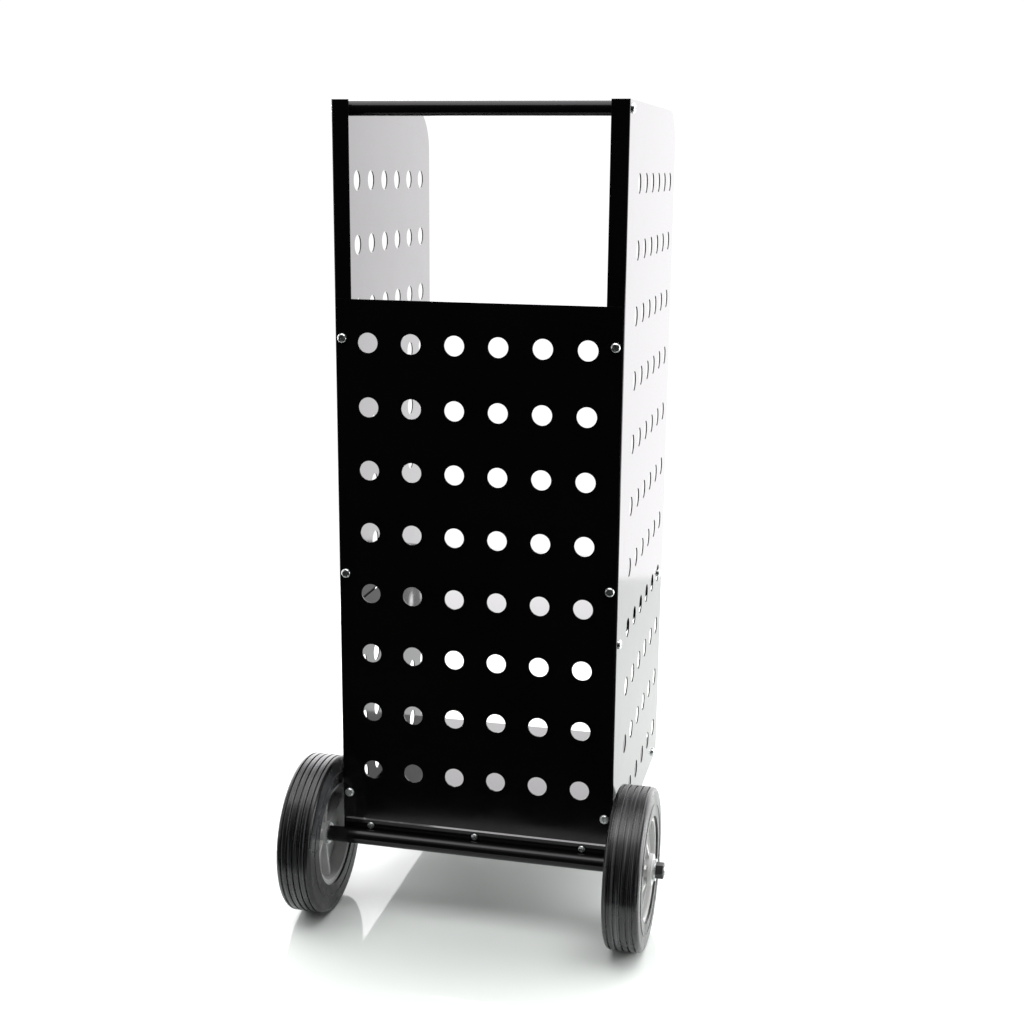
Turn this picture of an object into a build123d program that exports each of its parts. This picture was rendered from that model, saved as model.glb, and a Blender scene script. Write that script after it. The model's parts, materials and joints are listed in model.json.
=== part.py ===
"""Two-wheeled luggage cart with a perforated sheet-steel body, in millimetres.

+Z is up, the floor is Z = 0, and the origin is under the middle of the cart's bounding box.
+X is to the right for a person who stands at the handle and looks along +Y to the open front.
"""

from build123d import *
import os

os.makedirs("parts", exist_ok=True)

# ---------------------------------------------------------------- driving dimensions
# Body
body_width = 361.0  # over the outer faces of the side panels
body_depth = 408.0  # from the rear panel's outer face to the front edges
body_height = 949.0  # of the side panels
sheet = 1.5
bend_radius = 2.5  # outer radius of every fold
flange_width = 22.0  # the side panels' inward flange at the rear
top_corner_radius = 55.0
bottom_corner_radius = 8.0

# Perforation
hole_diameter = 25.0
column_pitch = 55.0
row_pitch = 80.0
side_first_column = 88.0  # from the rear face
side_first_row = 54.0  # from the side panels' lower edges
side_front_margin = 35.0  # least distance from the last column to the front edges
rear_first_row = 70.0  # from the rear panel's lower edge
rear_side_margin = 35.0  # least distance from the outer columns to the rear panel's sides
top_margin = 45.0  # least distance from the top row to a panel's upper edge

# Rear panel
rear_panel_inset = 2.0  # from the side panels' outer faces
rear_panel_height = 683.0
rear_panel_lift = 30.0  # from the side panels' lower edges to the rear panel's
rear_panel_corner = 3.0
rear_screw_inset = 10.0  # from the side panels' outer faces
rear_screw_rows = (35.0, 335.0, 635.0)  # from the rear panel's lower edge

# Shelves
shelf_rises = {"mid": 306.5, "bottom": 26.5}  # upper faces, from the side panels' lower edges
shelf_flange = 19.0
shelf_front_gap = 16.0  # from the front flange to the side panels' front edges
shelf_side_gap = 0.2
shelf_bolt_drop = 12.5
shelf_bolt_rear = 15.0  # from the rear face
shelf_bolt_front = 43.0  # from the side panels' front edges

# Handle
handle_diameter = 18.0
handle_wall = 2.0
handle_drop = 10.0  # from the panels' upper edges to the tube's axis
handle_inset = 15.0  # from the rear face
handle_end_gap = 0.2
plug_length = 28.0
handle_bolt_depth = 22.0  # how far the bolts reach into the plugs

# Fasteners: pan-head screws and hexagon nuts of two sizes
M6 = dict(shank=6.0, hole=6.6, head=12.0, height=4.0, recess=7.0, slot=1.6, flats=10.0, nut=5.0)
M5 = dict(shank=5.0, hole=5.5, head=9.5, height=3.0, recess=5.5, slot=1.3, flats=8.0, nut=4.0)
head_rounding = 0.7  # share of a pan head's height
recess_share = 0.5  # share of a pan head's height
thread_past_nut = 2.0

# Axle
wheel_radius = 103.0
axle_tube_diameter = 20.0
axle_tube_wall = 2.0
tube_overhang = 15.5  # past the side panels' outer faces
axle_rod_diameter = 12.0
rod_chamfer = 1.0
rod_clearance = 0.1
strip_thickness = 2.5
strip_end_gap = 4.0  # from the strip's ends to the side panels' outer faces
strip_top_gap = 2.5  # from the strip's upper edge to the rear panel's lower edge
strip_overlap = 4.0  # how far the mounting strip reaches down past the axle
weld_depth = 1.0  # how far the tube runs into the strip
bracket_bolt_spacing = 142.0
bracket_bolt_gap = 3.0  # from the top of the tube up to the bolts' centres
bracket_nut_gap = 0.5  # between the nuts and the bottom shelf's underside
sleeve_length = 18.0
washer_diameter = 28.0
washer_thickness = 1.6
running_gap = 0.3
axle_nut_across_flats = 18.0
axle_nut_height = 10.0
axle_nut_chamfer = 1.2
rod_past_nut = 1.5

# Wheels
tyre_width = 46.0
tyre_gap = 6.0  # between side panel and tyre
hub_rim_radius = 67.0
hub_rim_wall = 5.0
hub_rim_width = 40.0
hub_lip_height = 1.6
hub_lip_width = 2.5
hub_web = 5.0
hub_web_setback = 16.0  # from the rim's outer face to the web's outer face
boss_diameter = 30.0
boss_flange_diameter = 40.0
boss_flange_width = 5.0
boss_length = 36.0
hub_ribs = 6
rib_thickness = 5.0
rib_rim_setback = 8.0  # from the rim's edges to the ribs
rib_boss_setback = 2.0  # from the boss's inner end to the ribs
rib_root_depth = 1.0  # how far the ribs run into boss and rim
bush_diameter = 18.0
bush_length = 14.0
bush_flange_diameter = 24.0
bush_flange_width = 2.0
bore_relief = 0.5  # how far the hub's own bore stays clear of the rod

groove_count = 5
groove_width = 2.2
groove_depth = 2.5
tread_margin = 7.0
shoulder_radius = 6.0
side_ring_radius = 82.0
side_ring_height = 0.6
side_ring_width = 1.6

# Front support
leg_spacing = 184.0  # between the outer faces of the two legs
leg_thickness = 3.0
leg_width = 32.0
leg_front_inset = 35.0  # from the legs to the side panels' front edges
bracket_thickness = 2.5
bracket_drop = 34.0
bracket_reach = 34.0
leg_overlap = 28.0
foot_reach = 30.0
pad_thickness = 5.0
pad_margin = 1.0
pad_corner = 3.0
pad_rounding = 1.0
leg_bolt_diameter = 8.0
leg_bolt_hole = 8.5
leg_bolt_across_flats = 13.0
leg_bolt_head = 5.5
leg_nut_height = 6.5
leg_bolt_drop = 17.0  # below the shelf's underside
leg_fold_radius = 4.0

# ---------------------------------------------------------------- derived positions
strip_proud = strip_thickness - 2 * sheet  # the strip's rear face, behind the rear face
axle_setback = strip_proud + axle_tube_diameter / 2 - weld_depth  # from the rear face to the axle
wheel_overhang = axle_setback + wheel_radius  # behind the rear face
rear_y = wheel_overhang - (body_depth + wheel_overhang) / 2
front_y = rear_y + body_depth
outer_x = body_width / 2
inner_x = outer_x - sheet
flange_y = rear_y + sheet  # outer face of the side panels' flanges
shelf_rear_y = flange_y + sheet  # the shelves' rear flanges lie against the side flanges
shelf_front_y = front_y - shelf_front_gap
shelf_half_width = inner_x - shelf_side_gap
shelf_bolts_y = (rear_y + shelf_bolt_rear, front_y - shelf_bolt_front)
handle_y = rear_y + handle_inset
axle_y = rear_y - axle_setback
bracket_bolts_x = (-bracket_bolt_spacing, 0.0, bracket_bolt_spacing)

axle_z = wheel_radius
bracket_bolt_z = axle_z + axle_tube_diameter / 2 + bracket_bolt_gap
shelf_underside = bracket_bolt_z + M5["flats"] / 2 + bracket_nut_gap
panel_bottom = shelf_underside + sheet - shelf_rises["bottom"]
panel_top = panel_bottom + body_height
rear_panel_bottom = panel_bottom + rear_panel_lift
rear_screw_heights = [rear_panel_bottom + row for row in rear_screw_rows]
shelf_heights = {name: panel_bottom + rise for name, rise in shelf_rises.items()}
handle_z = panel_top - handle_drop

rear_panel_width = body_width - 2 * rear_panel_inset
rear_screw_x = outer_x - rear_screw_inset
side_columns = int((body_depth - side_first_column - side_front_margin) / column_pitch) + 1
side_rows = int((body_height - side_first_row - top_margin) / row_pitch) + 1
rear_columns = int((rear_panel_width - 2 * rear_side_margin) / column_pitch) + 1
rear_rows = int((rear_panel_height - rear_first_row - top_margin) / row_pitch) + 1

tyre_inner_x = outer_x + tyre_gap
tyre_mid_x = tyre_inner_x + tyre_width / 2
tyre_outer_x = tyre_inner_x + tyre_width
tube_end_x = outer_x + tube_overhang
inner_bush_x = tube_end_x + washer_thickness + running_gap
boss_inner_x = inner_bush_x + bush_flange_width
boss_outer_x = boss_inner_x + boss_length
outer_washer_x = boss_outer_x + bush_flange_width + running_gap
axle_nut_x = outer_washer_x + washer_thickness
rod_end_x = axle_nut_x + axle_nut_height + rod_past_nut


def save(part, name):
    """Label a finished piece and write it as its own STEP file."""
    part.label = name
    export_step(part, f"parts/{name}.step")


def side_plane(x, facing):
    """Plane across the cart at x: its x runs along +Y and its y along +Z for facing = 1."""
    return Plane(origin=(x, 0, 0), x_dir=(0, facing, 0), z_dir=(facing, 0, 0))


# ---------------------------------------------------------------- side panels
def side_panel(name, side):
    """Bent sheet: a perforated web and a narrow flange turned inwards at the rear."""
    hole_centre_y = rear_y + side_first_column + column_pitch * (side_columns - 1) / 2
    hole_centre_z = panel_bottom + side_first_row + row_pitch * (side_rows - 1) / 2
    bolt_spots = [(y, shelf_heights[s] - shelf_bolt_drop) for s in shelf_heights for y in shelf_bolts_y]
    bolt_spots.append((handle_y, handle_z))

    with BuildPart() as panel:
        # L-shaped section with a rounded fold, drawn on the floor plane and raised
        with BuildSketch(Plane.XY.offset(panel_bottom)) as section:
            with BuildLine():
                Polyline(
                    (side * (outer_x - flange_width), flange_y + sheet),
                    (side * (outer_x - flange_width), flange_y),
                    (side * outer_x, flange_y),
                    (side * outer_x, front_y),
                    (side * inner_x, front_y),
                    (side * inner_x, flange_y + sheet),
                    close=True,
                )
            make_face()
            outer_fold = section.vertices().sort_by_distance((side * outer_x, flange_y))[0]
            fillet(outer_fold, bend_radius)
            inner_fold = section.vertices().sort_by_distance((side * inner_x, flange_y + sheet))[0]
            fillet(inner_fold, bend_radius - sheet)
        extrude(amount=body_height)

        # Rounded front corners of the web
        front_edges = panel.edges().filter_by(Axis.X).group_by(Axis.Y)[-1].sort_by(Axis.Z)
        fillet(front_edges[-1], top_corner_radius)
        fillet(front_edges[0], bottom_corner_radius)

        # The flange and its fold stop at the rear panel's lower edge
        with BuildSketch(Plane.XY.offset(panel_bottom)):
            with Locations((side * outer_x, flange_y)):
                Rectangle(2 * flange_width, 2 * bend_radius)
        extrude(amount=rear_panel_lift, mode=Mode.SUBTRACT)

        # Perforation and screw holes
        with BuildSketch(side_plane(0, 1)):
            with Locations((hole_centre_y, hole_centre_z)):
                with GridLocations(column_pitch, row_pitch, side_columns, side_rows):
                    Circle(hole_diameter / 2)
            with Locations(*bolt_spots):
                Circle(M6["hole"] / 2)
        extrude(amount=side * (outer_x + sheet), mode=Mode.SUBTRACT)
        with BuildSketch(Plane.XZ.offset(-rear_y)):
            for height in rear_screw_heights:
                with Locations((side * rear_screw_x, height)):
                    Circle(M6["hole"] / 2)
        extrude(amount=-3 * sheet, mode=Mode.SUBTRACT)
    save(panel.part, name)


side_panel("left_side_panel", -1)
side_panel("right_side_panel", 1)

# ---------------------------------------------------------------- rear panel
with BuildPart() as rear_panel:
    with BuildSketch(Plane.XZ.offset(-rear_y)):
        with Locations((0, rear_panel_bottom + rear_panel_height / 2)):
            RectangleRounded(rear_panel_width, rear_panel_height, rear_panel_corner)
        with Locations((0, rear_panel_bottom + rear_first_row + row_pitch * (rear_rows - 1) / 2)):
            with GridLocations(column_pitch, row_pitch, rear_columns, rear_rows):
                Circle(hole_diameter / 2, mode=Mode.SUBTRACT)
        for height in rear_screw_heights:
            with Locations((0, height)):
                with GridLocations(2 * rear_screw_x, 1, 2, 1):
                    Circle(M6["hole"] / 2, mode=Mode.SUBTRACT)
    extrude(amount=-sheet)
save(rear_panel.part, "rear_panel")


# ---------------------------------------------------------------- shelves
def shelf(name, height, bottom_one):
    """Sheet tray turned upside down: a flat top and four flanges folded down."""
    depth = shelf_front_y - shelf_rear_y
    middle_y = (shelf_front_y + shelf_rear_y) / 2
    bolt_height = height - shelf_bolt_drop
    with BuildPart() as tray:
        with BuildSketch(Plane.XY.offset(height - shelf_flange)):
            with Locations((0, middle_y)):
                RectangleRounded(2 * shelf_half_width, depth, bend_radius)
        extrude(amount=shelf_flange)
        fillet(tray.faces().sort_by(Axis.Z)[-1].edges(), bend_radius)
        with BuildSketch(Plane.XY.offset(height - shelf_flange)):
            with Locations((0, middle_y)):
                RectangleRounded(2 * (shelf_half_width - sheet), depth - 2 * sheet, bend_radius - sheet)
        extrude(amount=shelf_flange - sheet, mode=Mode.SUBTRACT)

        # Bolt holes through the side flanges
        with BuildSketch(side_plane(-outer_x, 1)):
            for y in shelf_bolts_y:
                with Locations((y, bolt_height)):
                    Circle(M6["hole"] / 2)
        extrude(amount=body_width, mode=Mode.SUBTRACT)

        if bottom_one:
            # Holes for the axle strip in the rear flange, and for the foot brackets in the front flange
            with BuildSketch(Plane.XZ.offset(-(shelf_rear_y - sheet))):
                for x in bracket_bolts_x:
                    with Locations((x, bracket_bolt_z)):
                        Circle(M5["hole"] / 2)
            extrude(amount=-3 * sheet, mode=Mode.SUBTRACT)
            with BuildSketch(Plane.XZ.offset(-(shelf_front_y - 2 * sheet))):
                with Locations((0, foot_screw_z)):
                    with GridLocations(2 * foot_screw_x, 1, 2, 1):
                        Circle(M6["hole"] / 2)
            extrude(amount=-3 * sheet, mode=Mode.SUBTRACT)
    save(tray.part, name)


bracket_outer_x = leg_spacing / 2 - leg_thickness  # outer face of each foot bracket's web
foot_screw_x = bracket_outer_x - (bracket_reach + bracket_thickness) / 2
foot_screw_z = shelf_underside - (shelf_flange - sheet) / 2
shelf("mid_shelf", shelf_heights["mid"], False)
shelf("bottom_shelf", shelf_heights["bottom"], True)

# ---------------------------------------------------------------- handle
handle_half_length = inner_x - handle_end_gap
with BuildPart() as handle_tube:
    with BuildSketch(Plane.YZ.offset(-handle_half_length)):
        with Locations((handle_y, handle_z)):
            Circle(handle_diameter / 2)
            Circle(handle_diameter / 2 - handle_wall, mode=Mode.SUBTRACT)
    extrude(amount=2 * handle_half_length)
save(handle_tube.part, "handle_tube")

with BuildPart() as handle_plugs:
    for side in (-1, 1):
        with BuildSketch(side_plane(side * handle_half_length, side)):
            with Locations((side * handle_y, handle_z)):
                Circle(handle_diameter / 2 - handle_wall)
                Circle(M6["shank"] / 2, mode=Mode.SUBTRACT)
        extrude(amount=-plug_length)
save(handle_plugs.part, "handle_plugs")


# ---------------------------------------------------------------- screws, bolts and nuts
def pan_head_screws(name, planes, length, size):
    """Pan-head screws with a cross recess. Each plane lies on the seat and faces outwards."""
    with BuildPart() as screws:
        for seat in planes:
            with BuildSketch(seat):
                Circle(size["head"] / 2)
            extrude(amount=size["height"])
            with BuildSketch(seat):
                Circle(size["shank"] / 2)
            extrude(amount=-length)
        rims = screws.edges().filter_by(GeomType.CIRCLE)
        rims = rims.filter_by(lambda rim: rim.radius > size["shank"] / 2)
        for seat in planes:
            head_centre = seat.origin + seat.z_dir * size["height"]
            fillet(rims.sort_by_distance(head_centre)[0], size["height"] * head_rounding)
        for seat in planes:
            with BuildSketch(seat.offset(size["height"])):
                Rectangle(size["recess"], size["slot"])
                Rectangle(size["slot"], size["recess"])
            extrude(amount=-size["height"] * recess_share, mode=Mode.SUBTRACT)
    save(screws.part, name)


def hex_nuts(name, planes, across_flats, height, bore):
    """Hexagon nuts. Each plane lies on the nut's seat and faces away from it."""
    with BuildPart() as nuts:
        for seat in planes:
            with BuildSketch(seat):
                RegularPolygon(across_flats / 2, 6, major_radius=False)
                Circle(bore / 2, mode=Mode.SUBTRACT)
            extrude(amount=height)
    save(nuts.part, name)


def screw_set(name, nut_name, screw_seats, nut_seats, clamped, size):
    """Screws and nuts of one size that clamp a stack of that thickness."""
    pan_head_screws(name, screw_seats, clamped + size["nut"] + thread_past_nut, size)
    hex_nuts(nut_name, nut_seats, size["flats"], size["nut"], size["shank"])


def rear_plane(x, y, z):
    """Upright seat that faces the rear."""
    return Plane(origin=(x, y, z), x_dir=(1, 0, 0), z_dir=(0, -1, 0))


def front_plane(x, y, z):
    """Upright seat that faces the front."""
    return Plane(origin=(x, y, z), x_dir=(1, 0, 0), z_dir=(0, 1, 0))


def cross_plane(side, x, y, z):
    """Seat across the cart at (side * x, y, z) that faces away from the middle for side = 1."""
    return Plane(origin=(side * x, y, z), x_dir=(0, side, 0), z_dir=(side, 0, 0))


def inward_plane(side, x, y, z):
    """Seat across the cart at (side * x, y, z) that faces the middle."""
    return Plane(origin=(side * x, y, z), x_dir=(0, side, 0), z_dir=(-side, 0, 0))


rear_spots = [(side * rear_screw_x, z) for z in rear_screw_heights for side in (-1, 1)]
rear_seats = [rear_plane(x, rear_y, z) for x, z in rear_spots]
rear_nut_seats = [front_plane(x, flange_y + sheet, z) for x, z in rear_spots]
screw_set("rear_panel_screws", "rear_panel_nuts", rear_seats, rear_nut_seats, 2 * sheet, M6)

for shelf_name, height in shelf_heights.items():
    spots = [(side, y) for y in shelf_bolts_y for side in (-1, 1)]
    z = height - shelf_bolt_drop
    seats = [cross_plane(side, outer_x, y, z) for side, y in spots]
    nut_seats = [inward_plane(side, shelf_half_width - sheet, y, z) for side, y in spots]
    names = (f"{shelf_name}_shelf_bolts", f"{shelf_name}_shelf_nuts")
    screw_set(*names, seats, nut_seats, 2 * sheet + shelf_side_gap, M6)

handle_seats = [cross_plane(side, outer_x, handle_y, handle_z) for side in (-1, 1)]
pan_head_screws("handle_bolts", handle_seats, sheet + handle_end_gap + handle_bolt_depth, M6)

strip_y = shelf_rear_y - strip_thickness  # rear face of the axle's mounting strip
bracket_seats = [rear_plane(x, strip_y, bracket_bolt_z) for x in bracket_bolts_x]
bracket_nut_seats = [front_plane(x, shelf_rear_y + sheet, bracket_bolt_z) for x in bracket_bolts_x]
bracket_names = ("axle_bracket_bolts", "axle_bracket_nuts")
screw_set(*bracket_names, bracket_seats, bracket_nut_seats, strip_thickness + sheet, M5)

# ---------------------------------------------------------------- axle
strip_half_length = outer_x - strip_end_gap
strip_top = rear_panel_bottom - strip_top_gap
strip_bottom = axle_z - strip_overlap
with BuildPart() as axle_beam:
    with BuildSketch(Plane.YZ.offset(-tube_end_x)):
        with Locations((axle_y, axle_z)):
            Circle(axle_tube_diameter / 2)
    extrude(amount=2 * tube_end_x)
    with BuildSketch(Plane.YZ.offset(-strip_half_length)):
        with Locations((strip_y + strip_thickness / 2, (strip_top + strip_bottom) / 2)):
            Rectangle(strip_thickness, strip_top - strip_bottom)
    extrude(amount=2 * strip_half_length)
    with BuildSketch(Plane.YZ.offset(-tube_end_x)):
        with Locations((axle_y, axle_z)):
            Circle(axle_tube_diameter / 2 - axle_tube_wall)
    extrude(amount=2 * tube_end_x, mode=Mode.SUBTRACT)
    with BuildSketch(Plane.XZ.offset(-strip_y)):
        for x in bracket_bolts_x:
            with Locations((x, bracket_bolt_z)):
                Circle(M5["hole"] / 2)
    extrude(amount=-strip_thickness, mode=Mode.SUBTRACT)
save(axle_beam.part, "axle_beam")

with BuildPart() as axle_rod:
    with BuildSketch(Plane.YZ.offset(-rod_end_x)):
        with Locations((axle_y, axle_z)):
            Circle(axle_rod_diameter / 2)
    extrude(amount=2 * rod_end_x)
    chamfer(axle_rod.edges().filter_by(GeomType.CIRCLE), rod_chamfer)
save(axle_rod.part, "axle_rod")


def rings(name, starts, length, outer_diameter, bore):
    """Plain rings on the axle, one on each side, that start at |x| = starts and run outwards."""
    with BuildPart() as ring:
        for side in (-1, 1):
            with BuildSketch(side_plane(side * starts, side)):
                with Locations((side * axle_y, axle_z)):
                    Circle(outer_diameter / 2)
                    Circle(bore / 2, mode=Mode.SUBTRACT)
            extrude(amount=length)
    save(ring.part, name)


rod_bore = axle_rod_diameter + 2 * rod_clearance
sleeve_diameter = axle_tube_diameter - 2 * axle_tube_wall
rings("axle_sleeves", tube_end_x - sleeve_length, sleeve_length, sleeve_diameter, axle_rod_diameter)
rings("inner_washers", tube_end_x, washer_thickness, washer_diameter, axle_rod_diameter)
rings("outer_washers", outer_washer_x, washer_thickness, washer_diameter, axle_rod_diameter)

with BuildPart() as axle_nuts:
    for side in (-1, 1):
        with BuildSketch(cross_plane(side, axle_nut_x, axle_y, axle_z)):
            RegularPolygon(axle_nut_across_flats / 2, 6, major_radius=False)
        extrude(amount=axle_nut_height)
    end_faces = axle_nuts.faces().filter_by(Axis.X).sort_by(Axis.X)
    chamfer(end_faces[0].edges() + end_faces[-1].edges(), axle_nut_chamfer)
    with BuildSketch(side_plane(-rod_end_x, 1)):
        with Locations((axle_y, axle_z)):
            Circle(axle_rod_diameter / 2)
    extrude(amount=2 * rod_end_x, mode=Mode.SUBTRACT)
save(axle_nuts.part, "axle_nuts")

# ---------------------------------------------------------------- wheels
hub_rim_inner_x = tyre_mid_x - hub_rim_width / 2
hub_rim_outer_x = tyre_mid_x + hub_rim_width / 2
web_outer_x = hub_rim_outer_x - hub_web_setback
web_inner_x = web_outer_x - hub_web


def wheel(prefix, side):
    """Solid rubber tyre, moulded hub with ribs, and the two flanged bushes that turn on the rod."""
    spin_axis = Axis((0, axle_y, axle_z), (1, 0, 0))
    section_plane = Plane(origin=(0, axle_y, axle_z), x_dir=(side, 0, 0), z_dir=(0, -side, 0))

    with BuildPart() as tyre:
        with BuildSketch(section_plane) as tread:
            with Locations((tyre_mid_x, (wheel_radius + hub_rim_radius) / 2)):
                Rectangle(tyre_width, wheel_radius - hub_rim_radius)
            fillet(tread.vertices().group_by(Axis.Y)[-1], shoulder_radius)
            groove_pitch = (tyre_width - 2 * tread_margin) / (groove_count - 1)
            with Locations((tyre_mid_x, wheel_radius - groove_depth / 2)):
                with GridLocations(groove_pitch, 1, groove_count, 1):
                    Rectangle(groove_width, groove_depth, mode=Mode.SUBTRACT)
            for face_x in (tyre_inner_x, tyre_outer_x):
                with Locations((face_x, side_ring_radius)):
                    Rectangle(2 * side_ring_height, side_ring_width)
        revolve(axis=spin_axis)
    save(tyre.part, f"{prefix}_tyre")

    with BuildPart() as hub:
        with BuildSketch(section_plane):
            # Rim
            with Locations((tyre_mid_x, hub_rim_radius - hub_rim_wall / 2)):
                Rectangle(hub_rim_width, hub_rim_wall)
            # Raised lips inside the rim's two edges
            for face_x, inward in ((hub_rim_inner_x, 1), (hub_rim_outer_x, -1)):
                lip_centre = (face_x + inward * hub_lip_width / 2, hub_rim_radius - hub_rim_wall)
                with Locations(lip_centre):
                    Rectangle(hub_lip_width, 2 * hub_lip_height)
            # Web
            with Locations(((web_inner_x + web_outer_x) / 2, (hub_rim_radius - hub_rim_wall) / 2)):
                Rectangle(hub_web, hub_rim_radius - hub_rim_wall)
            # Boss, with a wider collar at its outer end
            with Locations(((boss_inner_x + boss_outer_x) / 2, boss_diameter / 4)):
                Rectangle(boss_length, boss_diameter / 2)
            with Locations((boss_outer_x - boss_flange_width / 2, boss_flange_diameter / 4)):
                Rectangle(boss_flange_width, boss_flange_diameter / 2)
        revolve(axis=spin_axis)

        # Ribs on both sides of the web, from boss to rim
        rib_root = boss_diameter / 2 - rib_root_depth
        rib_tip = hub_rim_radius - hub_rim_wall + rib_root_depth
        for index in range(hub_ribs):
            rib_plane = section_plane.rotated((index * 360 / hub_ribs, 0, 0))
            with BuildSketch(rib_plane):
                with BuildLine():
                    Polyline(
                        (boss_inner_x + rib_boss_setback, rib_root),
                        (hub_rim_inner_x + rib_rim_setback, rib_tip),
                        (hub_rim_outer_x - rib_rim_setback, rib_tip),
                        (boss_outer_x - boss_flange_width, rib_root),
                        close=True,
                    )
                make_face()
            extrude(amount=rib_thickness / 2, both=True)

        # Seats for the bushes and the bore for the rod between them
        with BuildSketch(section_plane):
            for seat_x in (boss_inner_x + bush_length / 2, boss_outer_x - bush_length / 2):
                with Locations((seat_x, bush_diameter / 4)):
                    Rectangle(bush_length, bush_diameter / 2)
            with Locations(((boss_inner_x + boss_outer_x) / 2, (rod_bore / 2 + bore_relief) / 2)):
                Rectangle(boss_length, rod_bore / 2 + bore_relief)
        revolve(axis=spin_axis, mode=Mode.SUBTRACT)
    save(hub.part, f"{prefix}_hub")

    with BuildPart() as bushes:
        with BuildSketch(section_plane):
            ends = (
                (boss_inner_x, boss_inner_x + bush_length, boss_inner_x - bush_flange_width),
                (boss_outer_x, boss_outer_x - bush_length, boss_outer_x + bush_flange_width),
            )
            for seat_x, deep_x, proud_x in ends:
                with Locations(((seat_x + deep_x) / 2, (bush_diameter + rod_bore) / 4)):
                    Rectangle(abs(deep_x - seat_x), (bush_diameter - rod_bore) / 2)
                with Locations(((seat_x + proud_x) / 2, (bush_flange_diameter + rod_bore) / 4)):
                    Rectangle(abs(proud_x - seat_x), (bush_flange_diameter - rod_bore) / 2)
        revolve(axis=spin_axis)
    save(bushes.part, f"{prefix}_bushes")


wheel("left", -1)
wheel("right", 1)

# ---------------------------------------------------------------- front support
leg_y = front_y - leg_front_inset - leg_width / 2
leg_outer_x = leg_spacing / 2
leg_bolt_z = shelf_underside - leg_bolt_drop
leg_top = shelf_underside - bracket_drop + leg_overlap
tab_y = shelf_front_y - sheet  # the brackets' tabs lie against the inside of the shelf's front flange


def front_foot(prefix, side):
    """Angle bracket inside the bottom shelf's front flange, a strip leg with a turned foot, and its pad."""
    bracket_web_x = bracket_outer_x - bracket_thickness / 2
    bracket_rear_y = leg_y - leg_width / 2
    with BuildPart() as bracket:
        # Web beside the leg
        with BuildSketch(Plane.XY.offset(shelf_underside - bracket_drop)):
            with Locations((side * bracket_web_x, (bracket_rear_y + tab_y) / 2)):
                Rectangle(bracket_thickness, tab_y - bracket_rear_y)
        extrude(amount=bracket_drop)
        # Tab against the front flange
        with BuildSketch(Plane.XY.offset(shelf_underside - shelf_flange + sheet)):
            with Locations((side * (bracket_outer_x - bracket_reach / 2), tab_y - bracket_thickness / 2)):
                Rectangle(bracket_reach, bracket_thickness)
        extrude(amount=shelf_flange - sheet)
        with BuildSketch(side_plane(0, 1)):
            with Locations((leg_y, leg_bolt_z)):
                Circle(leg_bolt_hole / 2)
        extrude(amount=side * leg_spacing, mode=Mode.SUBTRACT)
        with BuildSketch(Plane.XZ.offset(-tab_y)):
            with Locations((side * foot_screw_x, foot_screw_z)):
                Circle(M6["hole"] / 2)
        extrude(amount=bracket_thickness, mode=Mode.SUBTRACT)
    save(bracket.part, f"{prefix}_foot_bracket")

    leg_plane = Plane(origin=(0, bracket_rear_y, 0), x_dir=(side, 0, 0), z_dir=(0, -side, 0))
    with BuildPart() as leg:
        with BuildSketch(leg_plane) as strip:
            with BuildLine():
                Polyline(
                    (leg_outer_x, leg_top),
                    (leg_outer_x, pad_thickness),
                    (leg_outer_x - foot_reach, pad_thickness),
                    (leg_outer_x - foot_reach, pad_thickness + leg_thickness),
                    (leg_outer_x - leg_thickness, pad_thickness + leg_thickness),
                    (leg_outer_x - leg_thickness, leg_top),
                    close=True,
                )
            make_face()
            heel = strip.vertices().sort_by_distance((leg_outer_x, pad_thickness))[0]
            fillet(heel, leg_fold_radius)
        extrude(amount=-side * leg_width)
        with BuildSketch(side_plane(0, 1)):
            with Locations((leg_y, leg_bolt_z)):
                Circle(leg_bolt_hole / 2)
        extrude(amount=side * leg_spacing, mode=Mode.SUBTRACT)
    save(leg.part, f"{prefix}_leg")

    with BuildPart() as pad:
        with BuildSketch():
            with Locations((side * (leg_outer_x - foot_reach / 2), leg_y)):
                RectangleRounded(foot_reach - 2 * pad_margin, leg_width - 2 * pad_margin, pad_corner)
        extrude(amount=pad_thickness)
        fillet(pad.edges().group_by(Axis.Z)[0], pad_rounding)
    save(pad.part, f"{prefix}_foot_pad")


front_foot("left", -1)
front_foot("right", 1)

foot_seats = [front_plane(side * foot_screw_x, shelf_front_y, foot_screw_z) for side in (-1, 1)]
foot_nut_y = tab_y - bracket_thickness
foot_nut_seats = [rear_plane(side * foot_screw_x, foot_nut_y, foot_screw_z) for side in (-1, 1)]
foot_names = ("foot_bracket_screws", "foot_bracket_nuts")
screw_set(*foot_names, foot_seats, foot_nut_seats, sheet + bracket_thickness, M6)

with BuildPart() as leg_bolts:
    leg_bolt_length = leg_thickness + bracket_thickness + leg_nut_height + thread_past_nut
    for side in (-1, 1):
        seat = cross_plane(side, leg_outer_x, leg_y, leg_bolt_z)
        with BuildSketch(seat):
            RegularPolygon(leg_bolt_across_flats / 2, 6, major_radius=False)
        extrude(amount=leg_bolt_head)
        with BuildSketch(seat):
            Circle(leg_bolt_diameter / 2)
        extrude(amount=-leg_bolt_length)
save(leg_bolts.part, "leg_bolts")
leg_nut_x = bracket_outer_x - bracket_thickness
leg_nut_seats = [inward_plane(side, leg_nut_x, leg_y, leg_bolt_z) for side in (-1, 1)]
hex_nuts("leg_nuts", leg_nut_seats, leg_bolt_across_flats, leg_nut_height, leg_bolt_diameter)
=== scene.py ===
"""Looks for the two-wheeled luggage cart: paint, zinc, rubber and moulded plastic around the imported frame."""

import json
import math

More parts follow.
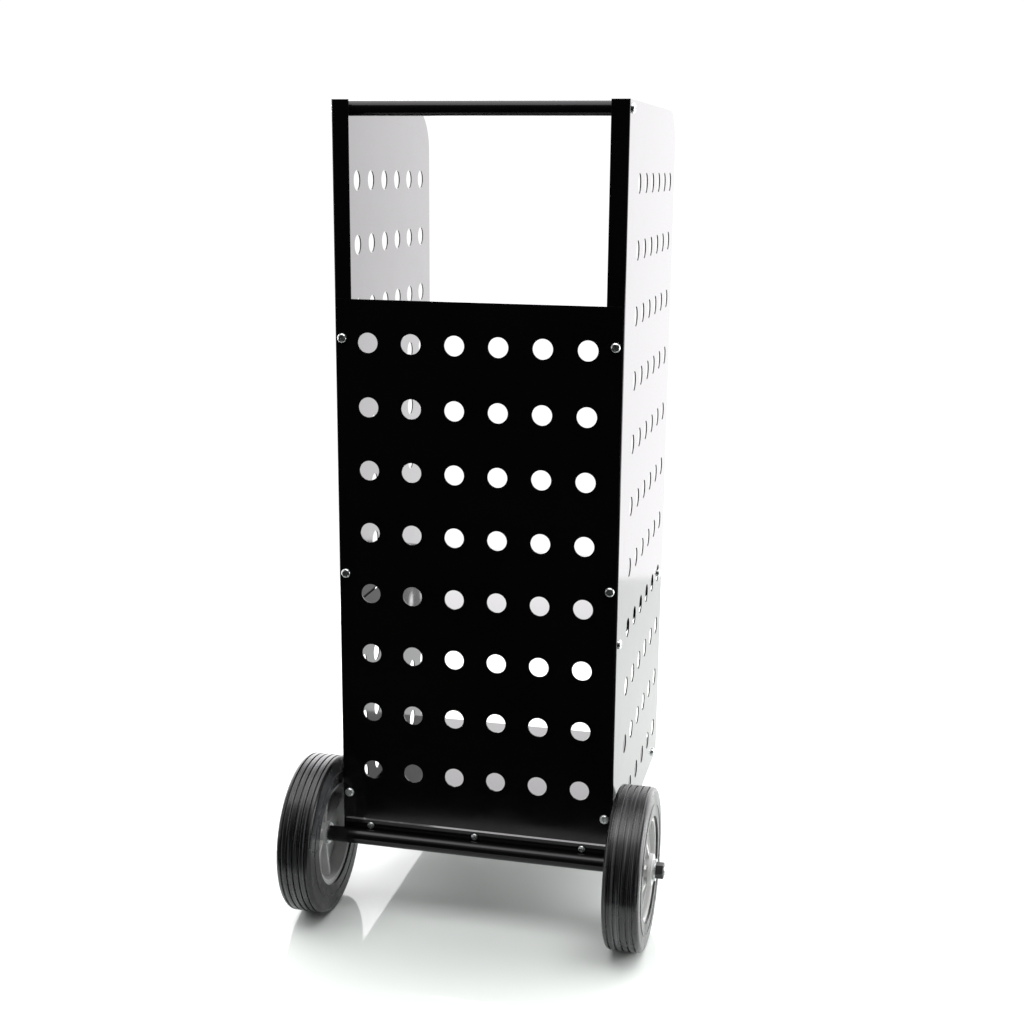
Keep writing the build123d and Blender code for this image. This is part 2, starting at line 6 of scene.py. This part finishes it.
import bpy
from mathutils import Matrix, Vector

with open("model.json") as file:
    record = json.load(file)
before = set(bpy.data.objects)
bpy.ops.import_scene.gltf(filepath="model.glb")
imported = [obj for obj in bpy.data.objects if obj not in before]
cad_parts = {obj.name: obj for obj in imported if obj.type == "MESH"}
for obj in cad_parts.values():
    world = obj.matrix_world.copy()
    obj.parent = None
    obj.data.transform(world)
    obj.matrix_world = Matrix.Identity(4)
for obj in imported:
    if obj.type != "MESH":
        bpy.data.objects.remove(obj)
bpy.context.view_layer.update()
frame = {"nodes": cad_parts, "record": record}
nodes = frame["nodes"]


def grey(value):
    return (value, value, value, 1.0)


# ---------------------------------------------------------------- node helper
class Shader:
    """A material under construction: its node tree and one Principled shader."""

    def __init__(self, name):
        self.material = bpy.data.materials.new(name)
        self.material.use_nodes = True
        self.tree = self.material.node_tree
        self.tree.nodes.clear()
        self.output = self.add("ShaderNodeOutputMaterial")
        self.principled = self.add("ShaderNodeBsdfPrincipled")
        self.link(self.principled, "BSDF", self.output, "Surface")
        self.coordinates = self.add("ShaderNodeTexCoord")

    def add(self, kind, **settings):
        node = self.tree.nodes.new(kind)
        for key, value in settings.items():
            setattr(node, key, value)
        return node

    def link(self, source, out_name, target, in_name):
        self.tree.links.new(source.outputs[out_name], target.inputs[in_name])

    def constants(self, **values):
        """Sets plain numbers and colours on the Principled shader's own sockets."""
        for key, value in values.items():
            self.principled.inputs[key.replace("_", " ")].default_value = value

    def feed(self, source, out_name, in_name):
        self.link(source, out_name, self.principled, in_name)

    def noise(self, scale, detail, roughness=0.5, stretch=(1, 1, 1)):
        """Noise over the object's own coordinates, in metres. Returns the noise node."""
        mapping = self.add("ShaderNodeMapping")
        mapping.inputs["Scale"].default_value = stretch
        self.link(self.coordinates, "Object", mapping, "Vector")
        noise = self.add("ShaderNodeTexNoise")
        noise.inputs["Scale"].default_value = scale
        noise.inputs["Detail"].default_value = detail
        noise.inputs["Roughness"].default_value = roughness
        self.link(mapping, "Vector", noise, "Vector")
        return noise

    def tint(self, source, *stops):
        """Colour ramp fed by a noise; stops are (position, colour)."""
        ramp = self.add("ShaderNodeValToRGB")
        elements = ramp.color_ramp.elements
        elements[0].position, elements[0].color = stops[0]
        elements[1].position, elements[1].color = stops[-1]
        for position, colour in stops[1:-1]:
            element = elements.new(position)
            element.color = colour
        self.link(source, "Fac", ramp, "Fac")
        return ramp

    def spread(self, source, out_name, low, high, start=0.3, end=0.7):
        """Maps a value from start..end onto low..high."""
        spread = self.add("ShaderNodeMapRange")
        spread.inputs["From Min"].default_value = start
        spread.inputs["From Max"].default_value = end
        spread.inputs["To Min"].default_value = low
        spread.inputs["To Max"].default_value = high
        self.link(source, out_name, spread, "Value")
        return spread

    def bump(self, source, height, strength, below=None):
        """Adds relief of that height in metres, on top of an earlier bump if there is one."""
        bump = self.add("ShaderNodeBump")
        bump.inputs["Strength"].default_value = strength
        bump.inputs["Distance"].default_value = height
        self.link(source, "Fac", bump, "Height")
        if below is not None:
            self.link(below, "Normal", bump, "Normal")
        return bump

    def edge_highlight(self, colour, highlight_colour, radius):
        """Mixes in a lighter colour where the surface turns sharply: a painted highlight along the edges.
        Returns the mix node.
        """
        most_highlight = 0.8
        sharp, flat = 0.75, 0.97  # agreement of the rounded and the true normal
        rounded = self.add("ShaderNodeBevel", samples=4)
        rounded.inputs["Radius"].default_value = radius
        true = self.add("ShaderNodeNewGeometry")
        agreement = self.add("ShaderNodeVectorMath", operation="DOT_PRODUCT")
        self.link(rounded, "Normal", agreement, 0)
        self.link(true, "Normal", agreement, 1)
        edge = self.spread(agreement, "Value", most_highlight, 0.0, sharp, flat)
        # painted highlight: the lighter colour is mixed in along sharp edges
        mix = self.add("ShaderNodeMixRGB")
        self.link(edge, "Result", mix, "Fac")
        self.link(colour, "Color", mix, "Color1")
        mix.inputs["Color2"].default_value = highlight_colour
        return mix


# ---------------------------------------------------------------- materials
def powder_coat(name, shade, gloss):
    """Gloss black powder coat: deep black, a faint orange peel, a painted highlight along sharp edges and a
    little dulling dust.
    """
    paint = Shader(name)
    cloud = paint.noise(scale=6.0, detail=4.0)
    tone = paint.tint(cloud, (0.3, grey(shade)), (0.75, grey(shade * 1.7)))
    # painted highlight: lighter colour along the paint's sharp edges
    edges = paint.edge_highlight(tone, highlight_colour=grey(0.035), radius=0.0006)
    paint.feed(edges, "Color", "Base Color")
    dust = paint.noise(scale=22.0, detail=6.0, roughness=0.65)
    dull = paint.spread(dust, "Fac", low=gloss, high=gloss + 0.07, start=0.35, end=0.8)
    paint.feed(dull, "Result", "Roughness")
    peel = paint.noise(scale=420.0, detail=1.5)
    relief = paint.bump(peel, height=0.00002, strength=0.35)
    paint.feed(relief, "Normal", "Normal")
    paint.constants(IOR=1.38, Specular_Tint=(1.0, 0.965, 1.0, 1.0))
    return paint.material


def zinc_plate(name):
    """Bright zinc plating with a faint blue cast and fine wiping marks."""
    zinc = Shader(name)
    cloud = zinc.noise(scale=180.0, detail=3.0)
    tone = zinc.tint(cloud, (0.3, (0.60, 0.63, 0.64, 1)), (0.7, (0.80, 0.82, 0.81, 1)))
    zinc.feed(tone, "Color", "Base Color")
    marks = zinc.noise(scale=900.0, detail=2.0)
    dull = zinc.spread(marks, "Fac", low=0.2, high=0.38)
    zinc.feed(dull, "Result", "Roughness")
    relief = zinc.bump(marks, height=0.00003, strength=0.4)
    zinc.feed(relief, "Normal", "Normal")
    zinc.constants(Metallic=1.0)
    return zinc.material


def dark_steel(name, shade, rough):
    """Oiled black or bare steel for nuts and the axle rod."""
    steel = Shader(name)
    cloud = steel.noise(scale=120.0, detail=4.0)
    tone = steel.tint(cloud, (0.3, grey(shade * 0.8)), (0.7, grey(shade * 1.2)))
    steel.feed(tone, "Color", "Base Color")
    dull = steel.spread(cloud, "Fac", low=rough, high=rough + 0.12)
    steel.feed(dull, "Result", "Roughness")
    grain = steel.noise(scale=700.0, detail=2.0)
    relief = steel.bump(grain, height=0.00004, strength=0.4)
    steel.feed(relief, "Normal", "Normal")
    steel.constants(Metallic=0.85)
    return steel.material


def tyre_rubber(name):
    """Solid rubber: glossy black with moulding grain, a painted highlight on sharp edges and thin painted
    highlight streaks around the tread.
    """
    rubber = Shader(name)
    # painted highlight: thin pale streaks around the tread
    highlight_streaks = rubber.noise(scale=1.0, detail=2.0, stretch=(850, 9, 9))
    pale = (0.09, 0.093, 0.1, 1)
    tone = rubber.tint(highlight_streaks, (0.3, grey(0.003)), (0.54, grey(0.008)), (0.66, pale))
    # painted highlight: pale colour on the tread's sharp edges
    edges = rubber.edge_highlight(tone, highlight_colour=grey(0.09), radius=0.0008)
    rubber.feed(edges, "Color", "Base Color")
    cloud = rubber.noise(scale=30.0, detail=6.0, roughness=0.6)
    dull = rubber.spread(cloud, "Fac", low=0.2, high=0.38)
    rubber.feed(dull, "Result", "Roughness")
    grain = rubber.noise(scale=1100.0, detail=2.0)
    fine = rubber.bump(grain, height=0.00006, strength=0.5)
    waves = rubber.noise(scale=60.0, detail=2.0)
    relief = rubber.bump(waves, height=0.0002, strength=0.3, below=fine)
    rubber.feed(relief, "Normal", "Normal")
    return rubber.material


def moulded_plastic(name, shade, rough):
    """Moulded plastic with a fine grain and slightly uneven gloss."""
    plastic = Shader(name)
    cloud = plastic.noise(scale=18.0, detail=4.0)
    warm = (shade * 0.97, shade * 0.98, shade * 0.96, 1)
    tone = plastic.tint(cloud, (0.3, warm), (0.7, grey(shade * 1.05)))
    plastic.feed(tone, "Color", "Base Color")
    dull = plastic.spread(cloud, "Fac", low=rough, high=rough + 0.1)
    plastic.feed(dull, "Result", "Roughness")
    grain = plastic.noise(scale=1300.0, detail=2.0)
    relief = plastic.bump(grain, height=0.00004, strength=0.35)
    plastic.feed(relief, "Normal", "Normal")
    return plastic.material


def dress_nodes():
    """Gives every CAD node the material of its slot in the record."""
    finishes = {
        "black_panel": powder_coat("black_panel", shade=0.002, gloss=0.09),
        "black_tube": powder_coat("black_tube", shade=0.003, gloss=0.13),
        "zinc": zinc_plate("zinc"),
        "black_fastener": dark_steel("black_fastener", shade=0.05, rough=0.32),
        "steel": dark_steel("steel", shade=0.5, rough=0.28),
        "tyre_rubber": tyre_rubber("tyre_rubber"),
        "hub_grey": moulded_plastic("hub_grey", shade=0.56, rough=0.28),
        "bush_plastic": moulded_plastic("bush_plastic", shade=0.7, rough=0.4),
        "pad_rubber": tyre_rubber("pad_rubber"),
    }
    for entry in frame["record"]["subparts"]:
        mesh = nodes[entry["node"]].data
        mesh.materials.clear()
        mesh.materials.append(finishes[entry["material_slot"]])


# ---------------------------------------------------------------- studio
class Surroundings:
    """The studio around the cart as a world under construction: how bright each direction is."""

    def __init__(self, name):
        world = bpy.data.worlds.new(name)
        bpy.context.scene.world = world
        world.use_nodes = True
        self.tree = world.node_tree
        self.tree.nodes.clear()
        self.axes = self.add("ShaderNodeSeparateXYZ")
        self.link(self.add("ShaderNodeTexCoord"), "Generated", self.axes, "Vector")

    def add(self, kind):
        return self.tree.nodes.new(kind)

    def link(self, source, out_name, target, in_name):
        self.tree.links.new(source.outputs[out_name], target.inputs[in_name])

    def fade(self, axis, before, after, start, end):
        """Goes softly from one value to the other while the direction along the axis passes start..end."""
        node = self.add("ShaderNodeMapRange")
        node.interpolation_type = "SMOOTHSTEP"
        node.inputs["From Min"].default_value = start
        node.inputs["From Max"].default_value = end
        node.inputs["To Min"].default_value = before
        node.inputs["To Max"].default_value = after
        self.link(self.axes, axis, node, "Value")
        return node.outputs["Result"]

    def combine(self, operation, first, second):
        node = self.add("ShaderNodeMath")
        node.operation = operation
        self.tree.links.new(first, node.inputs[0])
        if isinstance(second, float):
            node.inputs[1].default_value = second
        else:
            self.tree.links.new(second, node.inputs[1])
        return node.outputs["Value"]

    def background(self, colour):
        node = self.add("ShaderNodeBackground")
        node.inputs["Color"].default_value = colour
        return node


def studio_world():
    """White studio: bright beyond the cart, dark behind the camera, plain white to look at."""
    seen_strength = 1.05
    darkest = 0.01
    studio = Surroundings("studio")
    beyond = studio.fade("Y", before=0.0, after=1.0, start=-0.05, end=0.35)
    rising = studio.fade("Z", before=3.4, after=4.3, start=0.05, end=0.4)
    overhead_falloff = studio.fade("Z", before=1.0, after=0.25, start=0.45, end=0.85)
    dimmest_across = 0.55  # a little to the right of straight ahead
    right_part = studio.fade("X", before=dimmest_across, after=1.0, start=0.08, end=0.32)
    left_part = studio.fade("X", before=1.0, after=dimmest_across, start=-0.15, end=0.06)
    across = studio.combine("MAXIMUM", right_part, left_part)
    upward = studio.combine("MULTIPLY", rising, overhead_falloff)
    wall = studio.combine("MULTIPLY", upward, across)
    backdrop = studio.combine("MULTIPLY", beyond, wall)
    ceiling = studio.fade("Z", before=0.0, after=0.7, start=0.4, end=0.9)
    brightest = studio.combine("MAXIMUM", backdrop, ceiling)
    strength = studio.combine("MAXIMUM", brightest, darkest)

    lit = studio.background((1.0, 0.985, 1.0, 1.0))
    studio.tree.links.new(strength, lit.inputs["Strength"])
    seen = studio.background(grey(1.0))
    seen.inputs["Strength"].default_value = seen_strength
    choice, output = studio.add("ShaderNodeMixShader"), studio.add("ShaderNodeOutputWorld")
    studio.link(studio.add("ShaderNodeLightPath"), "Is Camera Ray", choice, "Fac")
    studio.link(lit, "Background", choice, 1)
    studio.link(seen, "Background", choice, 2)
    studio.link(choice, "Shader", output, "Surface")


def studio_floor():
    """Pale glossy floor as a round sheet, wide enough for the cart and its soft shadow."""
    radius = 1.05
    ahead = 0.61  # of the cart's middle
    corners = 96
    rim = []
    for i in range(corners):
        angle = 2 * math.pi * i / corners
        rim.append((radius * math.cos(angle), ahead + radius * math.sin(angle), 0))
    mesh = bpy.data.meshes.new("studio_floor")
    mesh.from_pydata(rim, [], [list(range(corners))])
    floor = bpy.data.objects.new("studio_floor", mesh)
    bpy.context.scene.collection.objects.link(floor)
    pale = Shader("studio_floor")
    pale.constants(Base_Color=(0.84, 0.88, 0.85, 1), Roughness=0.05, IOR=1.42)
    mesh.materials.append(pale.material)


def area_light(name, place, target, size, power):
    """A rectangular soft light, placed and aimed in metres, of that power in watts."""
    data = bpy.data.lights.new(name, "AREA")
    data.energy = power
    data.shape = "RECTANGLE"
    data.size, data.size_y = size
    light = bpy.data.objects.new(name, data)
    light.location = place
    aim = Vector(target) - Vector(place)
    light.rotation_euler = aim.to_track_quat("-Z", "Y").to_euler()
    bpy.context.scene.collection.objects.link(light)


def studio_lights():
    """Three soft lights: one above, a low one from the right and a weak strip from the left."""
    area_light("overhead", place=(0.0, -0.35, 2.6), target=(0.0, -0.1, 0.0), size=(2.6, 2.2), power=51)
    area_light("right_low", place=(1.5, 0.0, 0.5), target=(0.1, 0.05, 0.0), size=(1.0, 0.5), power=11)
    area_light("left_strip", place=(-1.7, -1.1, 0.9), target=(0.0, -0.1, 0.4), size=(0.25, 1.6), power=6)


def camera():
    """Camera behind the handle side, to the right of the cart and almost as high as its upper edge."""
    tilt, roll, turn = 77.011, -0.488, 13.420  # degrees
    data = bpy.data.cameras.new("camera")
    data.lens = 52.45
    data.sensor_width = 36.0
    view = bpy.data.objects.new("camera", data)
    view.location = (0.4583, -1.88975, 0.9665)
    view.rotation_euler = [math.radians(angle) for angle in (tilt, roll, turn)]
    bpy.context.scene.collection.objects.link(view)
    bpy.context.scene.camera = view


dress_nodes()
studio_world()
studio_floor()
studio_lights()
camera()
bpy.context.scene.view_settings.view_transform = "Standard"
